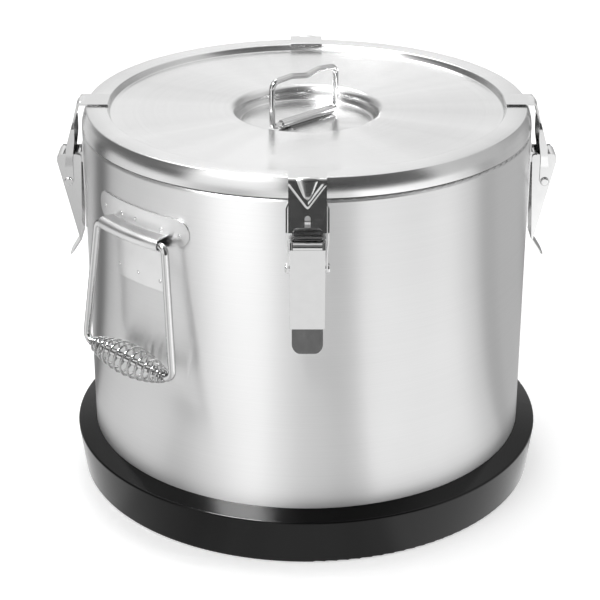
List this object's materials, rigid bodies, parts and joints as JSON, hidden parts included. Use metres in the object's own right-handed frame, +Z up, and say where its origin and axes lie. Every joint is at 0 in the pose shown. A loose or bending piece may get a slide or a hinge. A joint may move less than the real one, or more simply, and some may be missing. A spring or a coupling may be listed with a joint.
{
  "type": "insulated food container",
  "caption": "Round double-walled steel food container with a lift-off plug lid, toggle latches, swinging carry bails, a folding lid bail and a rubber base ring.",
  "frame": {"origin": "centre of the underside of the rubber base ring, on the ground plane", "axes": "+Z up along the container's axis; -Y towards the front latch, +X towards the right latch; the carry bails are at 45 and 225 degrees from +X"},
  "size_m": [0.448, 0.448, 0.3772],
  "materials": {
    "brushed_steel": "satin",
    "polished_steel": "polished",
    "black_rubber": "satin",
    "foam": "matte"
  },
  "bodies": {
    "container": {"base_ring": "black_rubber", "outer_jacket": "brushed_steel", "base_plate": "brushed_steel", "inner_pot": "brushed_steel", "wall_insulation": "foam", "front_latch_bracket": "polished_steel", "front_latch_pin": "polished_steel", "right_latch_bracket": "polished_steel", "right_latch_pin": "polished_steel", "back_latch_bracket": "polished_steel", "back_latch_pin": "polished_steel", "left_latch_bracket": "polished_steel", "left_latch_pin": "polished_steel", "left_handle_bracket": "polished_steel", "right_handle_bracket": "polished_steel"},
    "lid": {"lid_cover": "brushed_steel", "handle_dish": "polished_steel", "lid_liner": "brushed_steel", "lid_gasket": "black_rubber", "lid_insulation": "foam", "lid_handle_sleeve": "polished_steel"},
    "lid_handle": {"lid_handle": "polished_steel"},
    "front_lever": {"front_latch_lever": "polished_steel", "front_latch_rivets": "polished_steel"},
    "front_hook": {"front_latch_hook": "polished_steel"},
    "right_lever": {"right_latch_lever": "polished_steel", "right_latch_rivets": "polished_steel"},
    "right_hook": {"right_latch_hook": "polished_steel"},
    "back_lever": {"back_latch_lever": "polished_steel", "back_latch_rivets": "polished_steel"},
    "back_hook": {"back_latch_hook": "polished_steel"},
    "left_lever": {"left_latch_lever": "polished_steel", "left_latch_rivets": "polished_steel"},
    "left_hook": {"left_latch_hook": "polished_steel"},
    "left_handle": {"left_handle_bail": "polished_steel", "left_handle_grip": "polished_steel"},
    "right_handle": {"right_handle_bail": "polished_steel", "right_handle_grip": "polished_steel"}
  },
  "joints": [
    {"name": "lid_lift", "type": "slide", "parent": "container", "child": "lid", "axis": [0, 0, 1], "range_m": [0, 0.03]},
    {"name": "lid_handle_fold", "type": "hinge", "parent": "lid", "child": "lid_handle", "pos_m": [0, 0, 0.3332], "axis": [0.7133, 0.7009, 0], "range_deg": [-84, 84]},
    {"name": "front_lever_open", "type": "hinge", "parent": "container", "child": "front_lever", "pos_m": [0, -0.2048, 0.2995], "axis": [-1, 0, 0], "range_deg": [0, 55]},
    {"name": "front_hook_release", "type": "hinge", "parent": "front_lever", "child": "front_hook", "pos_m": [0, -0.2138, 0.2775], "axis": [1, 0, 0], "range_deg": [0, 150]},
    {"name": "right_lever_open", "type": "hinge", "parent": "container", "child": "right_lever", "pos_m": [0.2048, 0, 0.2995], "axis": [0, -1, 0], "range_deg": [0, 55]},
    {"name": "right_hook_release", "type": "hinge", "parent": "right_lever", "child": "right_hook", "pos_m": [0.2138, 0, 0.2775], "axis": [0, 1, 0], "range_deg": [0, 150]},
    {"name": "back_lever_open", "type": "hinge", "parent": "container", "child": "back_lever", "pos_m": [0, 0.2048, 0.2995], "axis": [1, 0, 0], "range_deg": [0, 55]},
    {"name": "back_hook_release", "type": "hinge", "parent": "back_lever", "child": "back_hook", "pos_m": [0, 0.2138, 0.2775], "axis": [-1, 0, 0], "range_deg": [0, 150]},
    {"name": "left_lever_open", "type": "hinge", "parent": "container", "child": "left_lever", "pos_m": [-0.2048, 0, 0.2995], "axis": [0, 1, 0], "range_deg": [0, 55]},
    {"name": "left_hook_release", "type": "hinge", "parent": "left_lever", "child": "left_hook", "pos_m": [-0.2138, 0, 0.2775], "axis": [0, -1, 0], "range_deg": [0, 150]},
    {"name": "left_handle_swing", "type": "hinge", "parent": "container", "child": "left_handle", "pos_m": [-0.14708, -0.14708, 0.28], "axis": [-0.7071, 0.7071, 0], "range_deg": [0, 150]},
    {"name": "right_handle_swing", "type": "hinge", "parent": "container", "child": "right_handle", "pos_m": [0.14708, 0.14708, 0.28], "axis": [0.7071, -0.7071, 0], "range_deg": [0, 150]}
  ],
  "couplings": [
    {"joint": "front_lever_open", "follows": "lid_lift", "rad_per_m": 31.99},
    {"joint": "front_hook_release", "follows": "lid_lift", "rad_per_m": 87.26},
    {"joint": "right_lever_open", "follows": "lid_lift", "rad_per_m": 31.99},
    {"joint": "right_hook_release", "follows": "lid_lift", "rad_per_m": 87.26},
    {"joint": "back_lever_open", "follows": "lid_lift", "rad_per_m": 31.99},
    {"joint": "back_hook_release", "follows": "lid_lift", "rad_per_m": 87.26},
    {"joint": "left_lever_open", "follows": "lid_lift", "rad_per_m": 31.99},
    {"joint": "left_hook_release", "follows": "lid_lift", "rad_per_m": 87.26}
  ]
}
